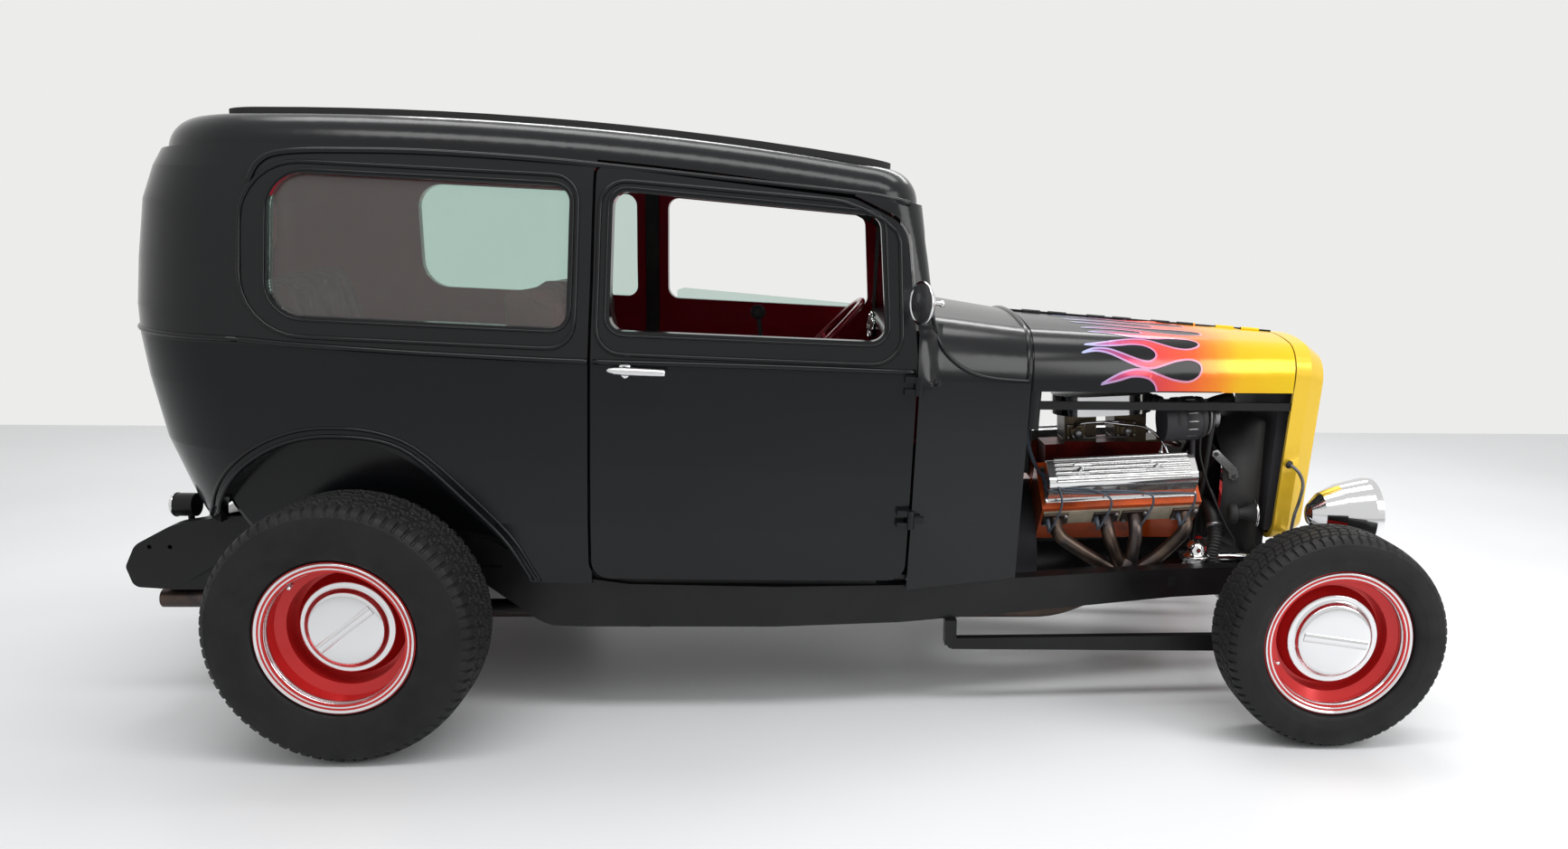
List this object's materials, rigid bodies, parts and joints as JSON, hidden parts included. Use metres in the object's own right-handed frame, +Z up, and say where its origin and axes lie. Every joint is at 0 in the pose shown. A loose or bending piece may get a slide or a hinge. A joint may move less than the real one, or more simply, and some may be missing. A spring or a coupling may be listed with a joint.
{
  "type": "hot rod",
  "caption": "Two-door saloon hot rod with a slab-sided cabin, flamed hood over an open vee engine, radiator shell, beam front axle and wide rear tyres.",
  "frame": {"origin": "on the ground at the middle of the car's length and width", "axes": "+X forward, +Y to the car's left, +Z up"},
  "size_m": [3.7268, 1.792, 1.7222],
  "materials": {
    "bare_steel": "plain",
    "black_plastic": "matt",
    "body_black": "satin",
    "cast_alloy": "cast",
    "cast_iron": "cast",
    "chrome": "polished",
    "engine_orange": "gloss",
    "flame_paint": "gloss",
    "frame_black": "satin",
    "grille_steel": "polished",
    "header_steel": "heat stained",
    "intake_red": "painted",
    "lamp_red": "gloss",
    "polished_alloy": "polished",
    "roof_fabric": "grained",
    "shell_yellow": "gloss",
    "tinted_glass": "clear",
    "trim_burgundy": "plain",
    "tyre_black": "matt",
    "wheel_red": "gloss"
  },
  "bodies": {
    "car": {"air_cleaner": "chrome", "cowl": "body_black", "crossmembers": "frame_black", "dashboard": "body_black", "distributor": "black_plastic", "engine_block": "engine_orange", "exhaust": "header_steel", "firewall": "body_black", "floor_pan": "body_black", "frame_rails": "frame_black", "front_axle": "frame_black", "front_drive": "polished_alloy", "front_seats": "trim_burgundy", "front_spring": "frame_black", "fuel_tank": "body_black", "gearbox": "cast_alloy", "grille_insert": "grille_steel", "grille_shell": "shell_yellow", "headlamps": "chrome", "hood_rails": "frame_black", "intake": "intake_red", "mirrors": "chrome", "propeller_shaft": "bare_steel", "quarter_panel_left": "body_black", "quarter_panel_right": "body_black", "radiator": "cast_iron", "radius_rods": "frame_black", "rear_axle": "frame_black", "rear_panel": "body_black", "rear_seat": "trim_burgundy", "rear_suspension": "frame_black", "roof_insert": "roof_fabric", "roof_panel": "body_black", "shift_lever": "bare_steel", "steering_box": "cast_iron", "steering_column": "frame_black", "tail_lamps": "lamp_red", "valve_covers": "polished_alloy", "wheel_houses": "body_black", "window_glass": "tinted_glass"},
    "door_left": {"door_left": "body_black"},
    "door_right": {"door_right": "body_black"},
    "drag_link": {"drag_link": "bare_steel"},
    "hood_left": {"hood_left": "flame_paint"},
    "hood_right": {"hood_right": "flame_paint"},
    "knuckle_left": {"knuckle_left": "frame_black"},
    "knuckle_right": {"knuckle_right": "frame_black"},
    "pitman_arm": {"pitman_arm": "bare_steel"},
    "steering_wheel": {"steering_wheel": "black_plastic"},
    "tie_rod": {"tie_rod": "bare_steel"},
    "wheel_rear_right": {"wheel_rear_right": "wheel_red", "tyre_rear_right": "tyre_black"},
    "wheel_rear_left": {"wheel_rear_left": "wheel_red", "tyre_rear_left": "tyre_black"},
    "wheel_front_right": {"wheel_front_right": "wheel_red", "tyre_front_right": "tyre_black"},
    "wheel_front_left": {"wheel_front_left": "wheel_red", "tyre_front_left": "tyre_black"}
  },
  "joints": [
    {"name": "wheel_rear_right_spin", "type": "hinge", "parent": "car", "child": "wheel_rear_right", "pos_m": [-1.1365, -0.768, 0.358], "axis": [0, 1, 0], "continuous": true},
    {"name": "wheel_rear_left_spin", "type": "hinge", "parent": "car", "child": "wheel_rear_left", "pos_m": [-1.1365, 0.768, 0.358], "axis": [0, 1, 0], "continuous": true},
    {"name": "steer_left", "type": "hinge", "parent": "car", "child": "knuckle_left", "pos_m": [1.5555, 0.63, 0.309], "axis": [0, 0, 1], "range_deg": [-22, 22]},
    {"name": "steer_right", "type": "hinge", "parent": "car", "child": "knuckle_right", "pos_m": [1.5555, -0.63, 0.309], "axis": [0, 0, 1], "range_deg": [-22, 22]},
    {"name": "wheel_front_right_spin", "type": "hinge", "parent": "knuckle_right", "child": "wheel_front_right", "pos_m": [1.5555, -0.712, 0.309], "axis": [0, 1, 0], "continuous": true},
    {"name": "wheel_front_left_spin", "type": "hinge", "parent": "knuckle_left", "child": "wheel_front_left", "pos_m": [1.5555, 0.712, 0.309], "axis": [0, 1, 0], "continuous": true},
    {"name": "tie_rod_pivot", "type": "hinge", "parent": "knuckle_left", "child": "tie_rod", "pos_m": [1.4455, 0.63, 0.248], "axis": [0, 0, 1], "range_deg": [-22, 22]},
    {"name": "pitman_pivot", "type": "hinge", "parent": "car", "child": "pitman_arm", "pos_m": [1.3355, 0.25, 0.248], "axis": [0, 0, 1], "range_deg": [-22, 22]},
    {"name": "drag_link_pivot", "type": "hinge", "parent": "pitman_arm", "child": "drag_link", "pos_m": [1.4455, 0.25, 0.248], "axis": [0, 0, 1], "range_deg": [-22, 22]},
    {"name": "steering_wheel_turn", "type": "hinge", "parent": "car", "child": "steering_wheel", "pos_m": [0.1335, 0.36, 1.018], "axis": [-0.7071, 0, 0.7071], "range_deg": [-335, 335]},
    {"name": "door_right_hinge", "type": "hinge", "parent": "car", "child": "door_right", "pos_m": [0.37689, -0.616, 0.61237], "axis": [0.0384, 0, 0.9993], "range_deg": [0, 65]},
    {"name": "door_left_hinge", "type": "hinge", "parent": "car", "child": "door_left", "pos_m": [0.37689, 0.616, 0.61237], "axis": [-0.0384, 0, -0.9993], "range_deg": [0, 65]},
    {"name": "hood_right_hinge", "type": "hinge", "parent": "car", "child": "hood_right", "pos_m": [0.74403, 0, 1.15594], "axis": [-0.9975, 0, 0.0709], "range_deg": [0, 75]},
    {"name": "hood_left_hinge", "type": "hinge", "parent": "car", "child": "hood_left", "pos_m": [0.74403, 0, 1.15594], "axis": [0.9975, 0, -0.0709], "range_deg": [0, 75]}
  ],
  "couplings": [
    {"joint": "steer_right", "follows": "steer_left", "ratio": 1},
    {"joint": "tie_rod_pivot", "follows": "steer_left", "ratio": -1},
    {"joint": "pitman_pivot", "follows": "steer_left", "ratio": -1},
    {"joint": "drag_link_pivot", "follows": "steer_left", "ratio": 1},
    {"joint": "steering_wheel_turn", "follows": "steer_left", "ratio": 15}
  ]
}
